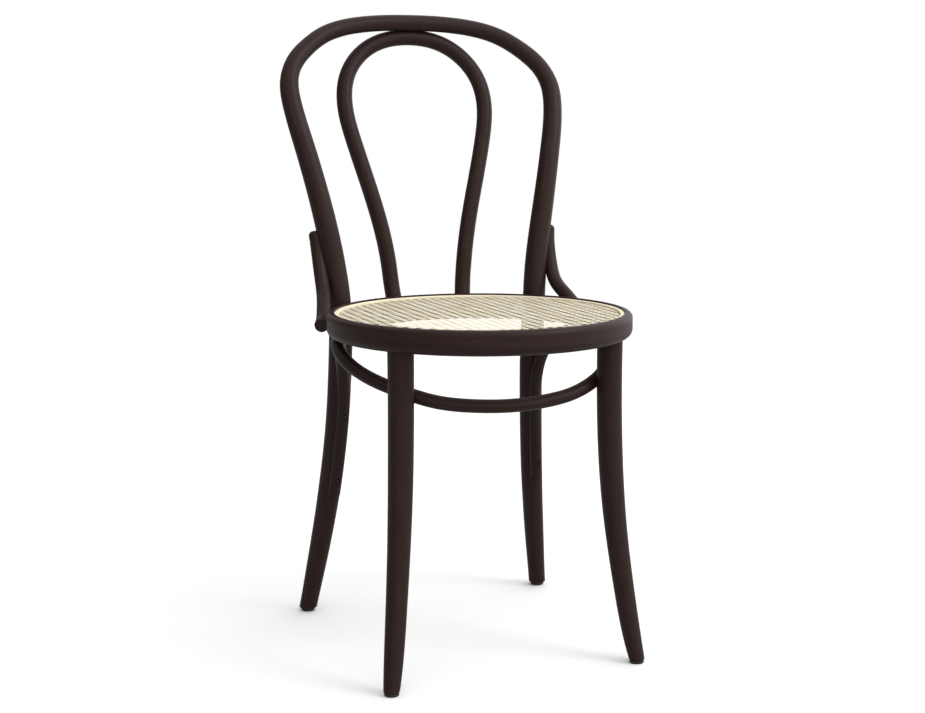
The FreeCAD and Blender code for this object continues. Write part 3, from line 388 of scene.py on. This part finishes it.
def weave_cane():
    """Strands of each family clear the seat's middle line by half a spacing or lie on it, and rise and
    dip by a share of their thickness."""
    pitch, gap, reach = CANE["Pitch"], CANE["Pair Gap"], CANE["Reach"]
    pairs = strand_tree("paired cane strands", False)
    slants = strand_tree("slanting cane strands", True)
    rise, slant_rise = 0.55 * CANE["Strand Thickness"], -0.95 * CANE["Strand Thickness"]
    step = gap / 2
    straight = dict(CANE, **{"Finish": cane, "Step": step, "Spacing": pitch,
                             "Strands": 2 * int(reach / pitch) + 1,
                             "Samples": 2 * int(reach / step) + 3})
    diagonal, samples_a_gap = pitch / sqrt(2), 4
    sloping = dict(CANE, **{"Finish": cane, "Step": diagonal / samples_a_gap, "Spacing": diagonal,
                            "Strands": 2 * int(reach / diagonal + 0.5),
                            "Samples": 2 * int(reach / diagonal * samples_a_gap) + 3,
                            "Weave": slant_rise})
    made = []
    for name, turn in (("cane_lengthways", pi / 2), ("cane_crossways", 0.0)):
        meshes = [grown(name, pairs, dict(straight, **{
            "Turn": turn, "Shift": side * gap / 2, "Weave": rise * side})) for side in (1, -1)]
        made.append(piece_from(name, meshes))
    meshes = [grown("cane_slanting", slants, dict(sloping, Turn=turn)) for turn in (pi / 4, -pi / 4)]
    made.append(piece_from("cane_slanting", meshes))
    for piece in made:
        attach(piece, "root")
        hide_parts("cane_panel")


weave_cane()


# Finishes of the pieces that keep their CAD shape

WORN = {
    "back_frame": frame_wood,
    "inner_loop": loop_wood,
    "front_leg_right": upright_wood,
    "front_leg_left": upright_wood,
    "side_arch_right": upright_wood,
    "side_arch_left": upright_wood,
    "leg_hoop": brace_wood,
    "seat_ring": ring_wood,
    "cane_spline": spline_reed,
    "glide_front_right": glide_nylon,
    "glide_front_left": glide_nylon,
    "glide_rear_right": glide_nylon,
    "glide_rear_left": glide_nylon,
    "glide_nails": bolt_steel,
    "seat_bolts": screw_steel,
    "seat_bolt_washers": bolt_steel,
    "seat_bolt_nuts": bolt_steel,
    "loop_foot_screws": screw_steel,
    "crown_screws": screw_steel,
    "arch_top_screws": screw_steel,
    "arch_end_screws": screw_steel,
    "hoop_front_screws": screw_steel,
    "hoop_rear_screws": screw_steel,
    "leg_lock_screws": screw_steel,
}
for node, finish in WORN.items():
    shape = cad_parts[node].data
    shape.materials.clear()
    shape.materials.append(finish)


# Floor, light and camera


def pale_paint(tree):
    """Looks white, and throws less light back up at the chair than it shows."""
    seen = add(tree, "ShaderNodeLightPath").outputs["Is Camera Ray"]
    tone = add(tree, "ShaderNodeMix", {0: seen, 6: linear("#B8B8B8"), 7: linear("#F6F6F6")},
               data_type="RGBA")
    return {"Base Color": tone.outputs[2]}


def make_floor():
    paint = new_material("pale painted floor", pale_paint, {"Roughness": 0.9, "Specular IOR Level": 0.0})
    mesh = bpy.data.meshes.new("floor")
    wide = 4.0
    mesh.from_pydata([(-wide, -wide, 0), (wide, -wide, 0), (wide, wide, 0), (-wide, wide, 0)], [],
                     [(0, 1, 2, 3)])
    mesh.materials.append(paint)
    floor = bpy.data.objects.new("floor", mesh)
    bpy.context.scene.collection.objects.link(floor)


def make_light(name, place, aim, size, power):
    lamp = bpy.data.lights.new(name, "AREA")
    lamp.shape = "DISK"
    lamp.size = size
    lamp.energy = power
    thing = bpy.data.objects.new(name, lamp)
    thing.location = place
    thing.rotation_mode = "QUATERNION"
    thing.rotation_quaternion = (Vector(aim) - Vector(place)).to_track_quat("-Z", "Y")
    bpy.context.scene.collection.objects.link(thing)


def make_world():
    world = bpy.data.worlds.new("white studio")
    world.use_nodes = True
    tree = world.node_tree
    tree.nodes.clear()
    # The studio is brighter to the right of the chair than to its left; its backdrop looks white.
    bright_side = (0.8, -0.35, 0.55)
    way = add(tree, "ShaderNodeTexCoord").outputs["Generated"]
    side = add(tree, "ShaderNodeVectorMath", {0: way, 1: bright_side}, operation="DOT_PRODUCT")
    glow = add(tree, "ShaderNodeMapRange", {"Value": side.outputs["Value"], "From Min": -0.5,
                                            "From Max": 0.9, "To Min": 0.25, "To Max": 1.7})
    seen = add(tree, "ShaderNodeLightPath").outputs["Is Camera Ray"]
    power = add(tree, "ShaderNodeMix", {0: seen, 2: glow, 3: 1.0}, data_type="FLOAT")
    sky = add(tree, "ShaderNodeBackground", {"Color": (1, 1, 1, 1), "Strength": power})
    add(tree, "ShaderNodeOutputWorld", {"Surface": sky})
    bpy.context.scene.world = world
    bpy.context.scene.view_settings.view_transform = "Standard"


def make_camera():
    """The photograph's own view."""
    lens = bpy.data.cameras.new("camera")
    lens.sensor_width = SENSOR_WIDE
    lens.lens = FOCAL_LENGTH / PHOTO_WIDE * SENSOR_WIDE
    lens.shift_x = (PHOTO_WIDE / 2 - AXIS_U) / PHOTO_WIDE
    lens.shift_y = (AXIS_V - PHOTO_HIGH / 2) / PHOTO_WIDE
    lens.clip_start, lens.clip_end = 0.05, 100.0
    camera = bpy.data.objects.new("camera", lens)
    camera.location = (EYE_X, EYE_Y + SEAT_Y, EYE_Z)
    camera.rotation_euler = (radians(90 - DEGREES_DOWN), 0, radians(-DEGREES_ROUND))
    bpy.context.scene.collection.objects.link(camera)
    bpy.context.scene.camera = camera


make_floor()
make_world()
make_light("window light", (2.4, -2.2, 3.2), CHAIR_MIDDLE, size=1.8, power=46)
make_light("fill light", (-2.4, -2.4, 2.6), CHAIR_MIDDLE, size=2.4, power=8)
make_camera()
